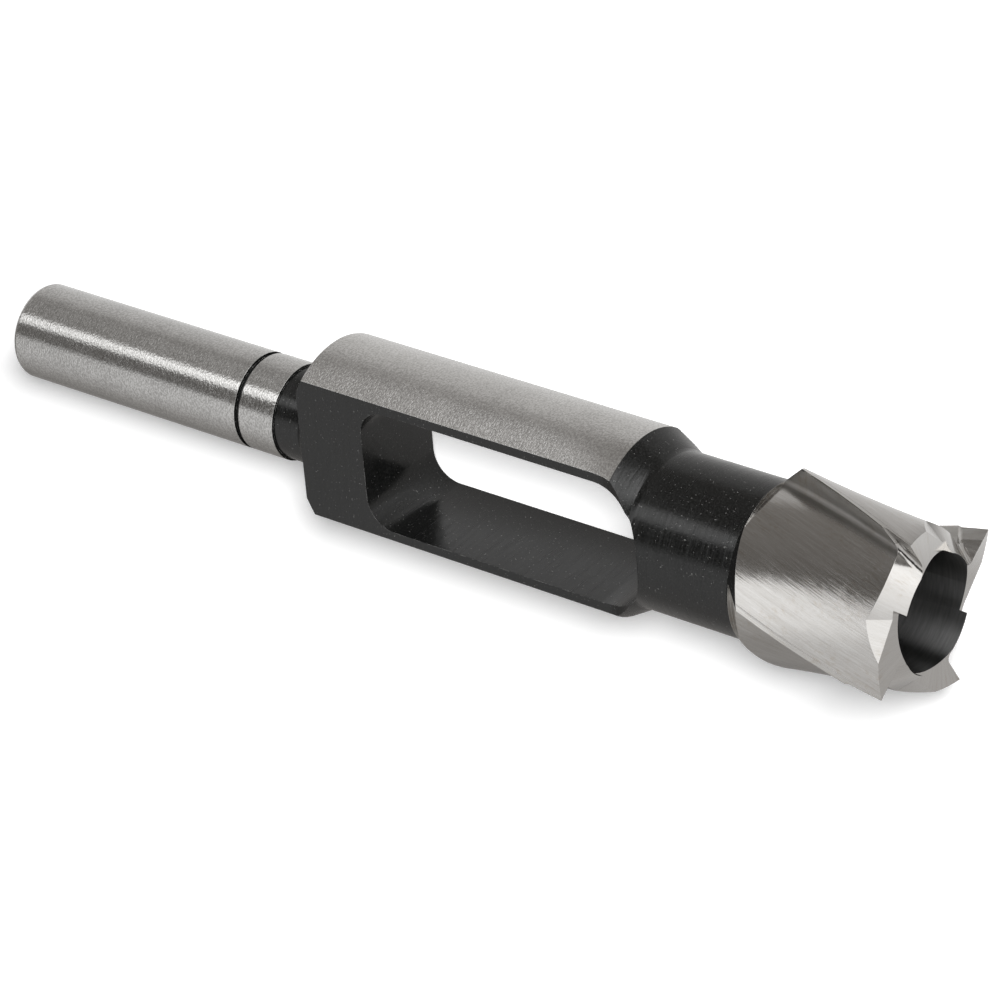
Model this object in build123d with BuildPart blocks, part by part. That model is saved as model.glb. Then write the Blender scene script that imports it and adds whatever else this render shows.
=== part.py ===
from build123d import *
import os
from math import cos, hypot, radians, sin, sqrt

# Plug cutter for a drill press: shank, slotted body, tube and fluted cutting head, all one piece of steel
# Built along X with the shank's end at X = 0 and the teeth at the far end, then laid down as it rests
# All lengths in mm, all angles in degrees; angles round the axis run from +Y towards +Z

overall_length = 140.5

# Shank and neck
shank_radius = 6.5
shank_length = 44.9
shank_chamfer_length = 0.4
shank_chamfer_depth = 0.2
groove_setback = 6.35
groove_width = 0.75
groove_depth = 0.4
neck_radius = 6.2
neck_length = 5.2
neck_fillet = 1.2

# Slotted body between two flats
body_radius = 12.1
body_length = 49.1
body_chamfer_length = 1.1
body_chamfer_depth = 1.7
body_thickness = 14.0
flat_setback = 2.7
flat_runout_radius = 12.6
window_setback = 10.2
window_length = 44.2
window_height = 17.2
window_rear_corner_radius = 4.0
window_front_corner_radius = 8.0

# Cone and tube in front of the body
cone_length = 3.5
cone_fillet = 1.2
tube_radius = 10.05

# Fluted head round the bore
head_length = 23.0
head_radius = 13.4
shoulder_length = 3.6
bore_radius = 7.5
bore_run_in = 10.5
teeth = 4
lead_angle = 24.9
flute_twist = 36.9
flute_setback = 0.4
flute_foot_radius = 10.1
flute_foot_angle = 3.0
flute_foot_fillet = 0.8
back_arc_radius = 17.2

# Grinding at the front of each tooth: depths are behind the bore's lip, angles are behind the tooth's tip
tip_angle = 23.2
tip_depth = 0.25
rake_length = 3.0
rake_inner_angle = 6.5
rake_outer_angle = 4.3
lip_slope = 1.19
gap_knee_radius = 10.6
gap_back_slope = 0.6
gap_fillet = 0.7
relief_outer_depth = 1.18
relief_outer_radius = 11.6
relief_outer_angle = 21.0
relief_inner_depth = 1.25
relief_inner_radius = 8.6
relief_inner_angle = 44.8
relief_heel_depth = 3.4
relief_heel_radius = 10.36
relief_heel_angle = 43.4
end_inner_depth = 0.25
notch_depth = 1.1
notch_angle = 50.3
notch_wall_angle = 70.0

# How it lies: on one flat's edge, the shank's end and a tooth, so turned round its axis and tilted up by the teeth
rest_turn = -75.1
rest_tilt = 3.2

# How far the cutting shapes reach past the steel
overcut = 3.0

# Places along the axis
neck_start = shank_length
groove_start = neck_start - groove_setback
groove_end = groove_start + groove_width
body_start = neck_start + neck_length
body_end = body_start + body_length
cone_end = body_end + cone_length
flat_end = body_end - flat_setback
window_start = body_start + window_setback
window_end = window_start + window_length
lip_x = overall_length
tip_x = lip_x - tip_depth
tube_end = lip_x - head_length
shoulder_end = tube_end + shoulder_length
flute_start = tube_end + flute_setback
bore_start = window_end - bore_run_in
pitch = 360 / teeth
twist_per_mm = flute_twist / (tip_x - flute_start)


def polar(x, radius, angle):
    """A point in the tool's own frame from its place along the axis, its radius and its angle."""
    return (x, radius * cos(radians(angle)), radius * sin(radians(angle)))


def facet(a, b, c):
    """The plane through three points, facing the teeth's end."""
    origin = Vector(*a)
    normal = (Vector(*b) - origin).cross(Vector(*c) - origin).normalized()
    if normal.X < 0:
        normal = normal * -1
    return Plane(origin=origin, z_dir=normal)


# One turned bar, from the shank's end to the teeth
with BuildPart() as bar:
    with BuildSketch(Plane.XY):
        with BuildLine():
            Polyline(
                (0, 0),
                (0, shank_radius - shank_chamfer_depth),
                (shank_chamfer_length, shank_radius),
                (groove_start, shank_radius),
                (groove_start, shank_radius - groove_depth),
                (groove_end, shank_radius - groove_depth),
                (groove_end, shank_radius),
                (neck_start, shank_radius),
                (neck_start, neck_radius),
                (body_start - neck_fillet, neck_radius),
            )
            RadiusArc(
                (body_start - neck_fillet, neck_radius),
                (body_start, neck_radius + neck_fillet),
                -neck_fillet,
            )
            Polyline(
                (body_start, neck_radius + neck_fillet),
                (body_start, body_radius - body_chamfer_depth),
                (body_start + body_chamfer_length, body_radius),
                (body_end, body_radius),
                (cone_end, tube_radius),
                (tube_end, tube_radius),
                (shoulder_end, head_radius),
                (lip_x, head_radius),
                (lip_x, 0),
                (0, 0),
            )
        make_face()
    revolve(axis=Axis.X)
    cone_foot = bar.edges().filter_by(GeomType.CIRCLE).filter_by(
        lambda e: abs(e.arc_center.X - cone_end) < 0.01 and abs(e.radius - tube_radius) < 0.01
    )
    fillet(cone_foot, cone_fillet)

# Two flats, milled along the body and running out in front of the window
flat_half = body_thickness / 2
cut_top = body_radius + overcut
runout_length = sqrt(flat_runout_radius**2 - (flat_runout_radius - (cut_top - flat_half)) ** 2)
with BuildPart() as flat_cut:
    with BuildSketch(Plane.XY):
        with BuildLine():
            Polyline(
                (flat_end + runout_length, cut_top),
                (body_start - overcut, cut_top),
                (body_start - overcut, flat_half),
                (flat_end, flat_half),
            )
            RadiusArc(
                (flat_end, flat_half),
                (flat_end + runout_length, cut_top),
                -flat_runout_radius,
            )
        make_face()
    extrude(amount=cut_top, both=True)

# The window that lets the plugs out, straight through from flat to flat
with BuildPart() as window_cut:
    with BuildSketch(Plane.XZ):
        with Locations(((window_start + window_end) / 2, 0)):
            Rectangle(window_length, window_height)
    extrude(amount=cut_top, both=True)
    rear_corners = window_cut.edges().filter_by(Axis.Y).group_by(Axis.X)[0]
    fillet(rear_corners, window_rear_corner_radius)
    front_corners = window_cut.edges().filter_by(Axis.Y).group_by(Axis.X)[-1]
    fillet(front_corners, window_front_corner_radius)

# The flutes: everything outside a toothed outline that twists along the head
twist_start = lead_angle - flute_twist
sections = 6
section_step = (lip_x + overcut - flute_start) / (sections - 1)
with BuildPart() as toothed:
    for n in range(sections):
        x = flute_start + n * section_step
        turn = twist_start + twist_per_mm * (x - flute_start)
        with BuildSketch(Plane.YZ.offset(x)) as section:
            with BuildLine():
                for k in range(teeth):
                    lead = radians(turn + k * pitch)
                    foot = radians(turn + (k - 1) * pitch - flute_foot_angle)
                    following = radians(turn + (k - 1) * pitch)
                    p_lead = (head_radius * cos(lead), head_radius * sin(lead))
                    p_foot = (flute_foot_radius * cos(foot), flute_foot_radius * sin(foot))
                    p_following = (head_radius * cos(following), head_radius * sin(following))
                    RadiusArc(p_lead, p_foot, back_arc_radius)
                    Line(p_foot, p_following)
            make_face()
            feet = section.vertices().filter_by(lambda v: hypot(v.X, v.Y) < flute_foot_radius + 0.1)
            fillet(feet, flute_foot_fillet)
    loft()

# The gap in front of each tooth: a bevel outside the bore's lip, a rake face behind it, a relief on the next tooth
rake = facet(
    polar(tip_x, head_radius, tip_angle),
    polar(lip_x, bore_radius, tip_angle - rake_inner_angle),
    polar(tip_x - rake_length, head_radius, tip_angle - rake_outer_angle),
)
rake = Plane(origin=rake.origin, z_dir=-rake.z_dir)
next_tip = tip_angle + pitch
relief = facet(
    polar(lip_x - relief_outer_depth, relief_outer_radius, next_tip - relief_outer_angle),
    polar(lip_x - relief_inner_depth, relief_inner_radius, next_tip - relief_inner_angle),
    polar(lip_x - relief_heel_depth, relief_heel_radius, next_tip - relief_heel_angle),
)
knee_x = lip_x - lip_slope * (gap_knee_radius - bore_radius)
gap_inner_radius = bore_radius - overcut / lip_slope
gap_outer_radius = head_radius + overcut
gap_outer_x = knee_x - gap_back_slope * (gap_outer_radius - gap_knee_radius)
with BuildPart() as gap:
    with BuildSketch(Plane.XY):
        with BuildLine():
            Polyline(
                (lip_x + overcut, gap_inner_radius),
                (knee_x, gap_knee_radius),
                (gap_outer_x, gap_outer_radius),
                (lip_x + overcut, gap_outer_radius),
                (lip_x + overcut, gap_inner_radius),
            )
        make_face()
    revolve(axis=Axis.X)
    split(bisect_by=rake, keep=Keep.TOP)
    rake_side = gap.faces().filter_by(lambda f: abs((f.center() - rake.origin).dot(rake.z_dir)) < 0.001)
    rake_foot = rake_side.sort_by(Axis.Y)[-1].edges().filter_by(GeomType.HYPERBOLA)
    fillet(rake_foot, gap_fillet)
    split(bisect_by=relief, keep=Keep.TOP)

# The end face of each tooth, sloping back from its cutting edge and nicking the lip behind it
notch = polar(lip_x - notch_depth, bore_radius, next_tip - notch_angle)
end_face = facet(
    polar(tip_x, head_radius, next_tip),
    polar(lip_x - end_inner_depth, bore_radius, next_tip - rake_inner_angle),
    notch,
)
wall = Vector(*polar(0, 1, next_tip - notch_wall_angle))
with BuildPart(Plane(origin=notch, x_dir=wall, z_dir=end_face.z_dir)) as end_cut:
    Box(3 * head_radius, 2 * head_radius + overcut, 2 * overcut, align=(Align.CENTER, Align.MIN, Align.MIN))

with BuildPart() as tool:
    add(bar.part)
    add(flat_cut.part, mode=Mode.SUBTRACT)
    add(flat_cut.part.rotate(Axis.X, 180), mode=Mode.SUBTRACT)
    add(window_cut.part, mode=Mode.SUBTRACT)
    with BuildSketch(Plane.YZ.offset(flute_start)):
        Circle(head_radius + overcut)
    flute_blank = extrude(amount=lip_x + overcut - flute_start, mode=Mode.PRIVATE)
    add(flute_blank - toothed.part, mode=Mode.SUBTRACT)
    for k in range(teeth):
        add(gap.part.rotate(Axis.X, k * pitch), mode=Mode.SUBTRACT)
        add(end_cut.part.rotate(Axis.X, k * pitch), mode=Mode.SUBTRACT)
    with BuildSketch(Plane.YZ.offset(bore_start)):
        Circle(bore_radius)
    extrude(amount=lip_x + overcut - bore_start, mode=Mode.SUBTRACT)

# Laid down at rest: the floor is Z = 0 and the origin is under the middle of the tool
laid = tool.part.rotate(Axis.X, rest_turn).rotate(Axis.Y, -rest_tilt)
box = laid.bounding_box()
with BuildPart() as plug_cutter:
    add(laid.translate((-box.center().X, -box.center().Y, -box.min.Z)))

os.makedirs("parts", exist_ok=True)
plug_cutter.part.label = "plug_cutter"
export_step(plug_cutter.part, "parts/plug_cutter.step")
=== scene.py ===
from math import hypot, radians

import bpy
from mathutils import Matrix, Vector

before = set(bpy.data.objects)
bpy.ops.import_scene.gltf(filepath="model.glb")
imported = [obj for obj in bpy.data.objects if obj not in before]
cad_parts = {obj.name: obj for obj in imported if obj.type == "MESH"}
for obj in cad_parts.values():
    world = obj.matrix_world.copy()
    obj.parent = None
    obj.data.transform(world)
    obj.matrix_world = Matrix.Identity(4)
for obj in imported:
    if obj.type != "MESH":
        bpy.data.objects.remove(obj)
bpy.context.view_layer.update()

# The plug cutter at rest on a white floor: the finish of each face, what the metal mirrors, camera and lamp
# Lengths are in mm and angles in degrees; MM and radians turn them into Blender's units
MM = 0.001
WHITE = (1, 1, 1, 1)

# The tool's own axes: X from the shank's end to the teeth, Y and Z across it, as it lies at rest
REST_TURN = -75.1
REST_TILT = 3.2
SHANK_END = Vector((-70.169, 0.0, 6.4829)) * MM
TOOL = (
    Matrix.Translation(SHANK_END)
    @ Matrix.Rotation(radians(-REST_TILT), 4, "Y")
    @ Matrix.Rotation(radians(REST_TURN), 4, "X")
)
TO_TOOL = TOOL.inverted()

# Zones along the tool, from the shank's end; the strip is the ground outside of the body
GROOVE = (38.5, 39.35)
NECK_START = 44.9
STRIP_START = 51.2
STRIP_END = 99.2
BODY_R = 12.1
FLUTE_START = 117.9
TIP = 140.25
HEAD_R = 13.4
BORE_R = 7.5
# How far a face's middle may lie from its zone's limits, and how squarely a face looks out, back or ahead
STEP_SLACK = 0.02
STRIP_SLACK = 0.3
OVER_BORE = 0.05
BORE_SLACK = 0.1
SQUARE_OUT = 0.97
TO_SHANK = -0.6
TO_TEETH = 0.35

# The flutes twist along the head; a foot's angle is given at their start, and scratches are sized at LAND_R
FLUTES = 4
FLUTE_TWIST = 36.9
FOOT_AT_START = -15
LAND_R = 12
PITCH = 360 / FLUTES
TWIST_PER_MM = FLUTE_TWIST / (TIP - FLUTE_START)
FOOT_TURN = FOOT_AT_START - TWIST_PER_MM * FLUTE_START
# How far past its foot a flute's steep wall and the painted shade at the foot fade out, and between which
# radii
WALL_FADE = (radians(3.6), radians(4.6))
WALL_FADE_R = (HEAD_R - 0.3, HEAD_R - 0.15)
SHADE_FADE = (radians(3.5), radians(11))
SHADE_FADE_R = (10.1, 10.5)
# How strong that painted shade is, and by how much wall and foot are rougher than the rest
PAINTED_SHADE_STRENGTH = 0.82
FLUTE_ROUGHER = 0.3

# Colours of steel and of black oxide, and of the painted shade at the flutes' foot
STEEL = (0.62, 0.615, 0.605)
STEEL_DARK = (0.36, 0.355, 0.345)
TEETH = (0.57, 0.562, 0.55)
TEETH_DARK = (0.42, 0.405, 0.385)
TEETH_STAIN = (0.36, 0.31, 0.25)
# Painted shade: the dark colour that the flutes' foot is blended towards
FOOT_PAINTED_SHADE = (0.13, 0.125, 0.115)
BLACK = (0.0015, 0.0017, 0.0016)
BLACK_WORN = (0.07, 0.07, 0.068)
BLACK_CHIPPED = (0.13, 0.129, 0.125)
BORE = (0.21, 0.21, 0.208)
BORE_DARK = (0.15, 0.15, 0.15)

# What the tool mirrors: light levels by the angle up from the far side, of which the peak is the brightest
PEAK = 3.0
DIM_TINT = (1.0, 0.95, 0.9)
BEHIND = [
    (0, 0.34), (12, 0.44), (44.5, 0.4), (48, 2.1), (63, 2.1),
    (70, 0.14), (95, 0.14), (104, 1.0), (130, 0.95), (180, 0.46),
]
BESIDE = [(0, 1.1), (20, 1.6), (60, 1.5), (84, 1.4), (98, 0.92), (180, 0.6)]
INTO_BORE = [
    (0, 1.2), (15, 3.0), (40, 3.0), (60, 1.4), (70, 0.03), (100, 0.03),
    (110, 1.3), (125, 1.3), (150, 0.5), (180, 0.4),
]
AHEAD = [(0, 1.6), (20, 1.9), (45, 1.6), (65, 1.5), (100, 1.1), (180, 0.6)]
FAR_END = [(0, 0.19), (25, 0.24), (50, 0.34), (180, 0.34)]
# Levels other than those behind take over between two values of a direction's share along X
ROOM_ZONES = (
    (-0.47, -0.39, BESIDE),
    (0.05, 0.18, INTO_BORE),
    (0.5, 0.64, AHEAD),
    (-0.64, -0.78, FAR_END),
)

# The floor in the metal: levels by the place across the tool, lower on its near side as a painted shadow of
# the tool, and where along it those ahead take over
FLOOR = [
    (-100, 0.42), (-38, 0.38), (-26, 0.28), (-12, 0.3), (-6, 0.4), (-1, 0.56), (4, 0.92),
    (9, 0.8), (22, 0.66), (60, 0.42), (100, 0.36),
]
FLOOR_AHEAD = [(-100, 0.62), (-8, 0.66), (0, 0.64), (6, 0.95), (11, 0.86), (17, 0.2), (100, 0.12)]
FLOOR_AHEAD_START = (60, 70)

# The floor to the camera: its glow in the shadow and its stronger glow under and beyond the tool, painted
# light that lightens the tool's shadow there, the strip across the tool where the one passes into the other,
# and how far from the tool it is white by itself
FLOOR_SIZE = 8000
FLOOR_GREY = (0.8, 0.8, 0.8, 1)
GLOW = (0.28, 0.5)
GLOW_ACROSS = (-10, -5)
WHITE_FROM = (80, 150)
# The even light on the floor and on all that doesn't mirror
FILL = 0.1

# The dim cards beside the tube and the head: middle, length and height, levels at bottom and top
CARDS = {
    "card_low": ((27, 50, 37), 44, 76, (0.3, 0.18)),
    "card_high": ((34, 50, 82), 34, 14, (0.18, 0.2)),
    "card_near": ((59, 21, 52), 28, 28, (0.18, 0.18)),
}

# Camera, in the tool's own axes: where it stands, and its right and upward directions
STAND = Vector((358.12, -348.66, 264.96))
RIGHT = Vector((0.80125, 0.59431, -0.0693))
UP = Vector((-0.25933, 0.44932, 0.8549))
LENS = 149.52
SENSOR_WIDTH = 36
NEAREST = 10

# The lamp that throws the tool's soft shadow on the floor, a little above the camera
LAMP_RIGHT = 15
LAMP_UP = 55
LAMP_SIZE = 180
LAMP_POWER = 4.5


def metres(lengths):
    """Lengths in mm as the metres that Blender works in."""
    return tuple(length * MM for length in lengths)


def level_colour(level):
    """A light level's colour as a share of the peak; dim levels are a little warmer than bright ones."""
    warm = min(max(1 - level, 0), 1)
    return (*(level / PEAK * (1 - warm * (1 - t)) for t in DIM_TINT), 1)


class Tree:
    """A node tree with short helpers."""

    def __init__(self, owner):
        owner.use_nodes = True
        self.nodes = owner.node_tree.nodes
        self.links = owner.node_tree.links

    def link(self, a, b):
        self.links.new(a, b)

    def math(self, operation, a, b=None):
        n = self.nodes.new("ShaderNodeMath")
        n.operation = operation
        for socket, value in zip(n.inputs, (a, b)):
            if isinstance(value, (int, float)):
                socket.default_value = value
            elif value is not None:
                self.link(value, socket)
        return n.outputs["Value"]

    def mapped(self, value, source, target=(0, 1), smooth=False):
        """A value carried over from one range to another, and held at the other's ends."""
        n = self.nodes.new("ShaderNodeMapRange")
        if smooth:
            n.interpolation_type = "SMOOTHSTEP"
        n.inputs["From Min"].default_value, n.inputs["From Max"].default_value = source
        n.inputs["To Min"].default_value, n.inputs["To Max"].default_value = target
        self.link(value, n.inputs["Value"])
        return n.outputs["Result"]

    def blend(self, value, a, b):
        """Mixes two colours, each a socket or plain values."""
        n = self.nodes.new("ShaderNodeMix")
        n.data_type = "RGBA"
        colours = [socket for socket in n.inputs if socket.type == "RGBA"]
        for socket, colour in zip(colours, (a, b)):
            if isinstance(colour, tuple):
                socket.default_value = (*colour[:3], 1)
            else:
                self.link(colour, socket)
        self.link(value, n.inputs["Factor"])
        return next(socket for socket in n.outputs if socket.type == "RGBA")

    def ramp(self, value, unit, bands):
        """Light levels from pairs of place and level, each place so many units of the value."""
        first, last = bands[0][0], bands[-1][0]
        n = self.nodes.new("ShaderNodeValToRGB")
        elements = n.color_ramp.elements
        elements.remove(elements[-1])
        for k, (where, level) in enumerate(bands):
            at = (where - first) / (last - first)
            e = elements[0] if k == 0 else elements.new(at)
            e.position = at
            e.color = level_colour(level)
        self.link(self.mapped(value, (first * unit, last * unit)), n.inputs["Fac"])
        return n.outputs["Color"]

    def by_ray(self, plain, camera, glossy):
        """One look for camera rays, one for mirrored rays and one for all others."""
        path = self.nodes.new("ShaderNodeLightPath")
        result = plain
        for kind, look in (("Is Camera Ray", camera), ("Is Glossy Ray", glossy)):
            n = self.nodes.new("ShaderNodeMixShader")
            self.link(path.outputs[kind], n.inputs["Fac"])
            self.link(result, n.inputs[1])
            self.link(look, n.inputs[2])
            result = n.outputs["Shader"]
        return result


class Shader(Tree):
    """A material; its textures run in the tool's own axes, in mm."""

    def __init__(self, name):
        self.material = bpy.data.materials.new(name)
        super().__init__(self.material)
        self.bsdf = self.nodes["Principled BSDF"]
        self.surface = self.nodes["Material Output"].inputs["Surface"]

    def place(self):
        """Object coordinates turned into the tool's own axes, in mm."""
        coord = self.nodes.new("ShaderNodeTexCoord")
        n = self.nodes.new("ShaderNodeMapping")
        n.vector_type = "TEXTURE"
        n.inputs["Location"].default_value = SHANK_END
        n.inputs["Rotation"].default_value = (radians(REST_TURN), radians(-REST_TILT), 0)
        n.inputs["Scale"].default_value = (MM, MM, MM)
        self.link(coord.outputs["Object"], n.inputs["Vector"])
        return n.outputs["Vector"]

    def tool_axis(self):
        """The tool's axis as a tangent: turning marks spread a reflection along it."""
        n = self.nodes.new("ShaderNodeCombineXYZ")
        for k, value in zip("XYZ", TOOL.to_3x3() @ Vector((1, 0, 0))):
            n.inputs[k].default_value = value
        return n.outputs["Vector"]

    def stretched(self, vector, scale):
        n = self.nodes.new("ShaderNodeMapping")
        n.inputs["Scale"].default_value = scale
        self.link(vector, n.inputs["Vector"])
        return n.outputs["Vector"]

    def round_axis(self, vector):
        """Place along the axis, distance from it, and angle round it with the flutes' twist taken off."""
        split = self.nodes.new("ShaderNodeSeparateXYZ")
        self.link(vector, split.inputs["Vector"])
        x, y, z = (split.outputs[k] for k in "XYZ")
        r = self.math("SQRT", self.math("ADD", self.math("MULTIPLY", y, y), self.math("MULTIPLY", z, z)))
        turn = self.math("ARCTAN2", z, y)
        return x, r, self.math("SUBTRACT", turn, self.math("MULTIPLY", x, radians(TWIST_PER_MM)))

    def along_flutes(self, vector, along, across):
        """Coordinates that follow the flutes round the axis: along them and across them."""
        x, _, unwound = self.round_axis(vector)
        join = self.nodes.new("ShaderNodeCombineXYZ")
        self.link(self.math("MULTIPLY", x, along), join.inputs["X"])
        self.link(self.math("MULTIPLY", unwound, LAND_R * across), join.inputs["Y"])
        return join.outputs["Vector"]

    def in_flutes(self, vector):
        """Two masks: the flutes' steep walls, and a soft band along their foot, where shade is painted."""
        _, r, unwound = self.round_axis(vector)
        past_foot = self.math("SUBTRACT", unwound, radians(FOOT_TURN))
        past_foot = self.math("FLOORED_MODULO", past_foot, radians(PITCH))
        steep = self.mapped(past_foot, WALL_FADE, (1, 0))
        inside = self.mapped(r, WALL_FADE_R, (1, 0))
        near = self.mapped(past_foot, SHADE_FADE, (1, 0), smooth=True)
        low = self.mapped(r, SHADE_FADE_R, (1, 0))
        return self.math("MULTIPLY", steep, inside), self.math("MULTIPLY", near, low)

    def noise(self, vector, scale, detail, rough):
        n = self.nodes.new("ShaderNodeTexNoise")
        n.inputs["Scale"].default_value = scale
        n.inputs["Detail"].default_value = detail
        n.inputs["Roughness"].default_value = rough
        self.link(vector, n.inputs["Vector"])
        return n.outputs["Fac"]

    def rounded(self, radius):
        """Edges catch the light as if they were rounded."""
        n = self.nodes.new("ShaderNodeBevel")
        n.samples = 6
        n.inputs["Radius"].default_value = radius * MM
        return n.outputs["Normal"]

    def bump(self, height, depth, strength, after):
        n = self.nodes.new("ShaderNodeBump")
        n.inputs["Strength"].default_value = strength
        n.inputs["Distance"].default_value = depth * MM
        self.link(height, n.inputs["Height"])
        self.link(after, n.inputs["Normal"])
        return n.outputs["Normal"]


def ground_steel(name, painted_lightness):
    """Cylindrically ground: a fine grain, short streaks round the bar and a few faint stains; its colours are
    scaled lighter as painted light where asked.
    """
    s = Shader(name)
    s.bsdf.inputs["Metallic"].default_value = 1.0
    place = s.place()
    grain = s.noise(s.stretched(place, (1.0, 0.75, 0.75)), scale=4.4, detail=1.0, rough=0.5)
    streaks = s.noise(s.stretched(place, (2.2, 0.35, 0.35)), scale=3.4, detail=3.0, rough=0.65)
    stains = s.noise(place, scale=0.16, detail=3.0, rough=0.6)
    grain_shade = s.mapped(grain, (0.36, 0.64), (0, 0.6))
    streak_shade = s.mapped(streaks, (0.3, 0.7), (0, 0.25))
    stain_shade = s.mapped(stains, (0.35, 0.65), (0.15, 0))
    shade = s.math("ADD", s.math("ADD", grain_shade, streak_shade), stain_shade)
    dark, light = (tuple(painted_lightness * level for level in colour) for colour in (STEEL_DARK, STEEL))
    s.link(s.blend(shade, dark, light), s.bsdf.inputs["Base Color"])
    s.link(s.mapped(streaks, (0.3, 0.7), (0.1, 0.18)), s.bsdf.inputs["Roughness"])
    after = s.bump(streaks, 0.02, 1.0, s.rounded(0.1))
    s.link(s.bump(grain, 0.02, 1.0, after), s.bsdf.inputs["Normal"])
    return s.material


def ground_teeth(name, marks, flutes):
    """Ground along the flutes, with scratches that follow the twist and faint stains; flutes are duller and
    have a painted shade along their foot.
    """
    s = Shader(name)
    s.bsdf.inputs["Metallic"].default_value = 1.0
    place = s.place()
    scratches = s.noise(s.along_flutes(place, along=0.12, across=3.0), scale=2.0, detail=4.0, rough=0.7)
    streaks = s.noise(s.along_flutes(place, along=0.06, across=0.7), scale=2.0, detail=3.0, rough=0.6)
    scratch_shade = s.mapped(scratches, (0.3, 0.7), (0, 0.65))
    streak_shade = s.mapped(streaks, (0.35, 0.65), (0, 0.35))
    half = 0.5 / marks
    shade = s.mapped(s.math("ADD", scratch_shade, streak_shade), (0.5 - half, 0.5 + half))
    spots = s.noise(s.along_flutes(place, along=0.8, across=1.6), scale=1.2, detail=5.0, rough=0.75)
    patches = s.noise(place, scale=0.22, detail=2.0, rough=0.5)
    stained = s.math("MULTIPLY", s.mapped(spots, (0.5, 0.66)), s.mapped(patches, (0.45, 0.6), (0.05, 0.5)))
    colour = s.blend(stained, s.blend(shade, TEETH_DARK, TEETH), TEETH_STAIN)
    rough = s.mapped(scratches, (0.3, 0.7), (0.12, 0.21))
    if flutes:
        wall, foot = s.in_flutes(place)
        # Painted shade: the colour darkens along the flutes' foot
        colour = s.blend(s.math("MULTIPLY", foot, PAINTED_SHADE_STRENGTH), colour, FOOT_PAINTED_SHADE)
        rougher = s.math("MULTIPLY", s.math("MAXIMUM", wall, foot), FLUTE_ROUGHER)
        rough = s.math("ADD", rough, rougher)
    s.link(colour, s.bsdf.inputs["Base Color"])
    s.link(rough, s.bsdf.inputs["Roughness"])
    after = s.bump(streaks, 0.03, 0.4 * marks, s.rounded(0.06))
    s.link(s.bump(scratches, 0.015, 0.6 * marks, after), s.bsdf.inputs["Normal"])
    return s.material


def black_oxide():
    """Nearly black and satin, with turning marks, small pits, tiny pale specks and edges worn a little."""
    s = Shader("black_oxide")
    place = s.place()
    specks = s.mapped(s.noise(place, scale=3.4, detail=2.0, rough=0.5), (0.67, 0.78))
    grain = s.mapped(s.noise(place, scale=5.0, detail=2.0, rough=0.6), (0.44, 0.7), (0, 0.12))
    bent = s.nodes.new("ShaderNodeVectorMath")
    bent.operation = "DOT_PRODUCT"
    s.link(s.rounded(0.16), bent.inputs[0])
    s.link(s.nodes.new("ShaderNodeNewGeometry").outputs["True Normal"], bent.inputs[1])
    at_edge = s.mapped(bent.outputs["Value"], (0.99, 0.8))
    chips = s.mapped(s.noise(place, scale=0.9, detail=4.0, rough=0.7), (0.48, 0.62))
    chipped = s.math("MAXIMUM", specks, s.math("MULTIPLY", at_edge, chips))
    colour = s.blend(chipped, s.blend(grain, BLACK, BLACK_WORN), BLACK_CHIPPED)
    s.link(colour, s.bsdf.inputs["Base Color"])
    s.bsdf.inputs["Specular IOR Level"].default_value = 0.42
    turned = s.noise(s.stretched(place, (1.0, 0.06, 0.06)), scale=2.4, detail=3.0, rough=0.7)
    s.link(s.mapped(turned, (0.35, 0.65), (0.12, 0.28)), s.bsdf.inputs["Roughness"])
    after = s.bump(turned, 0.02, 1.0, s.rounded(0.06))
    pits = s.noise(place, scale=1.1, detail=4.0, rough=0.65)
    s.link(s.bump(pits, 0.03, 0.5, after), s.bsdf.inputs["Normal"])
    return s.material


def reamed_bore():
    """Reamed steel, duller and darker than the ground faces; it spreads what it mirrors along the bore."""
    s = Shader("reamed_bore")
    s.bsdf.inputs["Metallic"].default_value = 1.0
    place = s.place()
    turned = s.noise(s.stretched(place, (1.0, 0.1, 0.1)), scale=3.0, detail=3.0, rough=0.6)
    s.link(s.blend(s.mapped(turned, (0.3, 0.7)), BORE_DARK, BORE), s.bsdf.inputs["Base Color"])
    s.bsdf.inputs["Roughness"].default_value = 0.36
    s.bsdf.inputs["Anisotropic"].default_value = 0.95
    s.link(s.tool_axis(), s.bsdf.inputs["Tangent"])
    s.link(s.bump(turned, 0.01, 0.3, s.rounded(0.06)), s.bsdf.inputs["Normal"])
    return s.material


def finish_of(centre, normal):
    """Which finish a face has, from its middle and its normal in the tool's own axes."""
    r = hypot(centre.y, centre.z)
    outward = (normal.y * centre.y + normal.z * centre.z) / max(r, 0.001)
    in_groove = GROOVE[0] < centre.x < GROOVE[1]
    if centre.x < NECK_START - STEP_SLACK and not in_groove:
        return "shank"
    if STRIP_START < centre.x < STRIP_END and r > BODY_R - STRIP_SLACK and outward > SQUARE_OUT:
        return "body"
    if centre.x > FLUTE_START and r > BORE_R + OVER_BORE and normal.x > TO_SHANK:
        return "facets" if normal.x > TO_TEETH else "flutes"
    if centre.x > STRIP_END and abs(r - BORE_R) < BORE_SLACK:
        return "bore"
    return "black"


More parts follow.
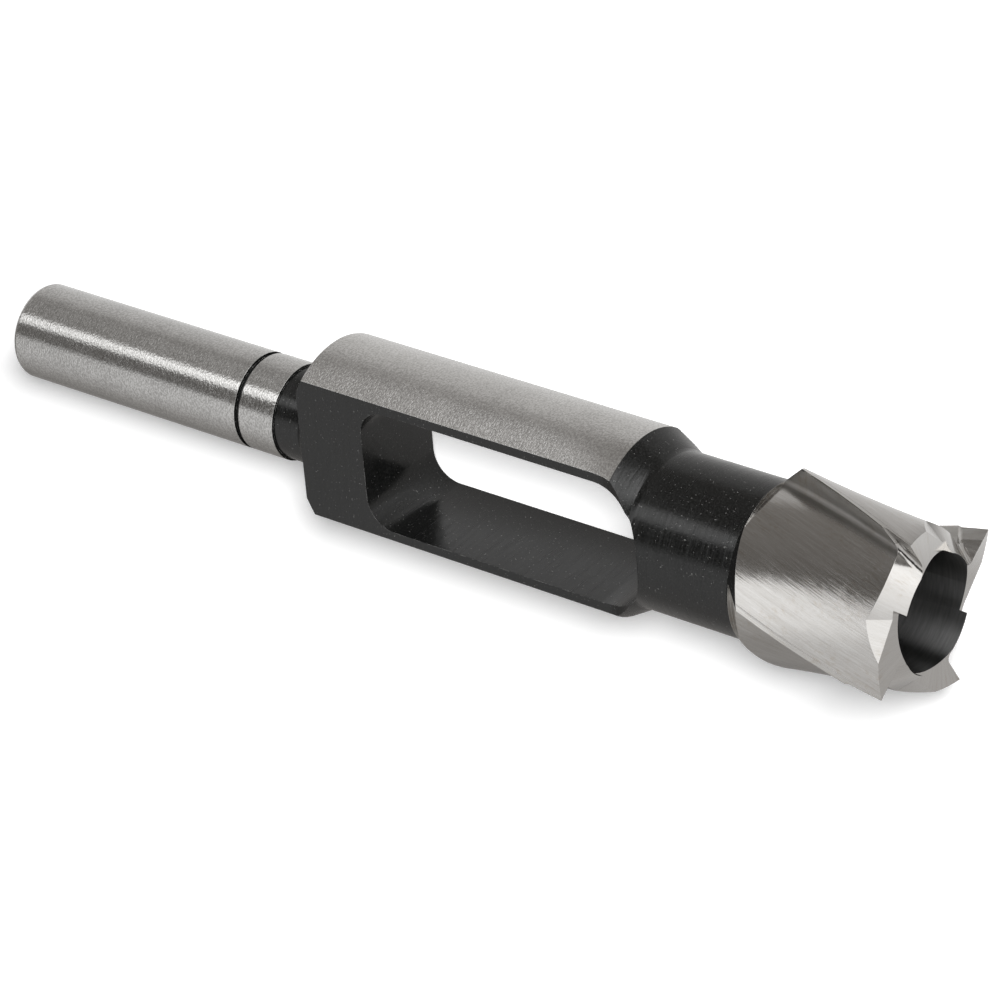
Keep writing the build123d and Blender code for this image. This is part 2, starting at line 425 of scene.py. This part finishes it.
def floor_material():
    """White to the camera where no shadow falls, a painted glow lightening the shadow under and beyond the
    tool; metal mirrors it with a painted shadow on the near side and brighter near the far side.
    """
    s = Shader("floor")
    s.bsdf.inputs["Base Color"].default_value = FLOOR_GREY
    s.bsdf.inputs["Roughness"].default_value = 1.0
    s.bsdf.inputs["Specular IOR Level"].default_value = 0.0
    coord = s.nodes.new("ShaderNodeTexCoord")
    split = s.nodes.new("ShaderNodeSeparateXYZ")
    s.link(coord.outputs["Object"], split.inputs["Vector"])
    along, across = (split.outputs[k] for k in "XY")
    away = s.nodes.new("ShaderNodeVectorMath")
    away.operation = "LENGTH"
    s.link(coord.outputs["Object"], away.inputs[0])
    # Painted light: more glow under and beyond the tool lightens its shadow there
    near = s.mapped(across, metres(GLOW_ACROSS), GLOW, smooth=True)
    far = s.mapped(away.outputs["Value"], metres(WHITE_FROM), smooth=True)
    glow = s.nodes.new("ShaderNodeEmission")
    s.link(s.math("MAXIMUM", near, far), glow.inputs["Strength"])
    seen = s.nodes.new("ShaderNodeAddShader")
    s.link(s.bsdf.outputs["BSDF"], seen.inputs[0])
    s.link(glow.outputs["Emission"], seen.inputs[1])
    # The mirrored floor dips on the tool's near side, a painted shadow of the tool
    beside, ahead = (s.ramp(across, MM, bands) for bands in (FLOOR, FLOOR_AHEAD))
    mirrored = s.nodes.new("ShaderNodeEmission")
    mirrored.inputs["Strength"].default_value = PEAK
    bands = s.blend(s.mapped(along, metres(FLOOR_AHEAD_START)), beside, ahead)
    s.link(bands, mirrored.inputs["Color"])
    look = s.by_ray(s.bsdf.outputs["BSDF"], seen.outputs["Shader"], mirrored.outputs["Emission"])
    s.link(look, s.surface)
    return s.material


def room():
    """The light all round: dim on dull surfaces, white to the camera, and bands where metal mirrors it."""
    world = bpy.data.worlds.new("room")
    s = Tree(world)
    s.nodes.clear()
    coord = s.nodes.new("ShaderNodeTexCoord")
    split = s.nodes.new("ShaderNodeSeparateXYZ")
    s.link(coord.outputs["Generated"], split.inputs["Vector"])
    x, y, z = (split.outputs[k] for k in "XYZ")
    up = s.math("ARCTAN2", z, y)
    bands = s.ramp(up, radians(1), BEHIND)
    for start, end, levels in ROOM_ZONES:
        bands = s.blend(s.mapped(x, (start, end), smooth=True), bands, s.ramp(up, radians(1), levels))
    looks = []
    for colour, strength in ((WHITE, FILL), (WHITE, 1.0), (bands, PEAK)):
        n = s.nodes.new("ShaderNodeBackground")
        n.inputs["Strength"].default_value = strength
        if isinstance(colour, tuple):
            n.inputs["Color"].default_value = colour
        else:
            s.link(colour, n.inputs["Color"])
        looks.append(n.outputs["Background"])
    out = s.nodes.new("ShaderNodeOutputWorld")
    s.link(s.by_ray(*looks), out.inputs["Surface"])
    return world


def dim_card(name, middle, length, height, levels):
    """A card that stands on the tool's far side, seen only where metal mirrors it."""
    bpy.ops.mesh.primitive_plane_add(size=1)
    card = bpy.context.object
    card.name = name
    card.scale = (length * MM, height * MM, 1)
    card.rotation_euler = (radians(90), 0, 0)
    card.location = Vector(middle) * MM
    s = Shader(name)
    split = s.nodes.new("ShaderNodeSeparateXYZ")
    s.link(s.nodes.new("ShaderNodeTexCoord").outputs["Generated"], split.inputs["Vector"])
    dim = s.nodes.new("ShaderNodeEmission")
    dim.inputs["Color"].default_value = (*DIM_TINT, 1)
    s.link(s.mapped(split.outputs["Y"], (0, 1), levels), dim.inputs["Strength"])
    s.link(dim.outputs["Emission"], s.surface)
    card.data.materials.append(s.material)
    card.visible_camera = False
    card.visible_diffuse = False
    card.visible_shadow = False


# Each face of the tool takes the finish of its zone
finishes = {
    "black": black_oxide(),
    "shank": ground_steel("ground_shank", painted_lightness=1.0),
    # The body's ground steel is painted lighter than the shank's, standing in for brighter light on it
    "body": ground_steel("ground_body", painted_lightness=1.22),
    "flutes": ground_teeth("ground_flutes", marks=1.0, flutes=True),
    "bore": reamed_bore(),
    "facets": ground_teeth("ground_facets", marks=0.4, flutes=False),
}
slots = {name: k for k, name in enumerate(finishes)}
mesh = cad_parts["plug_cutter"].data
mesh.materials.clear()
for material in finishes.values():
    mesh.materials.append(material)
turn = TO_TOOL.to_3x3()
for face in mesh.polygons:
    face.material_index = slots[finish_of((TO_TOOL @ face.center) / MM, turn @ face.normal)]

# Floor, room and cards
bpy.ops.mesh.primitive_plane_add(size=FLOOR_SIZE * MM)
floor = bpy.context.object
floor.name = "floor"
floor.data.materials.append(floor_material())
bpy.context.scene.world = room()
for name, (middle, length, height, levels) in CARDS.items():
    dim_card(name, middle, length, height, levels)

# Camera
camera_data = bpy.data.cameras.new("camera")
camera_data.lens = LENS
camera_data.sensor_width = SENSOR_WIDTH
camera_data.clip_start = NEAREST * MM
camera = bpy.data.objects.new("camera", camera_data)
pose = Matrix((RIGHT, UP, RIGHT.cross(UP))).transposed().to_4x4()
pose.translation = STAND * MM
camera.matrix_world = TOOL @ pose
bpy.context.collection.objects.link(camera)
bpy.context.scene.camera = camera

# Lamp, which metal doesn't mirror
lamp = bpy.data.lights.new("key", "AREA")
lamp.shape = "DISK"
lamp.size = LAMP_SIZE * MM
lamp.energy = LAMP_POWER
key = bpy.data.objects.new("key", lamp)
key.location = TOOL @ ((STAND + LAMP_RIGHT * RIGHT + LAMP_UP * UP) * MM)
key.rotation_mode = "QUATERNION"
key.rotation_quaternion = key.location.to_track_quat("Z", "Y")
key.visible_glossy = False
bpy.context.collection.objects.link(key)
bpy.context.scene.view_settings.view_transform = "Standard"
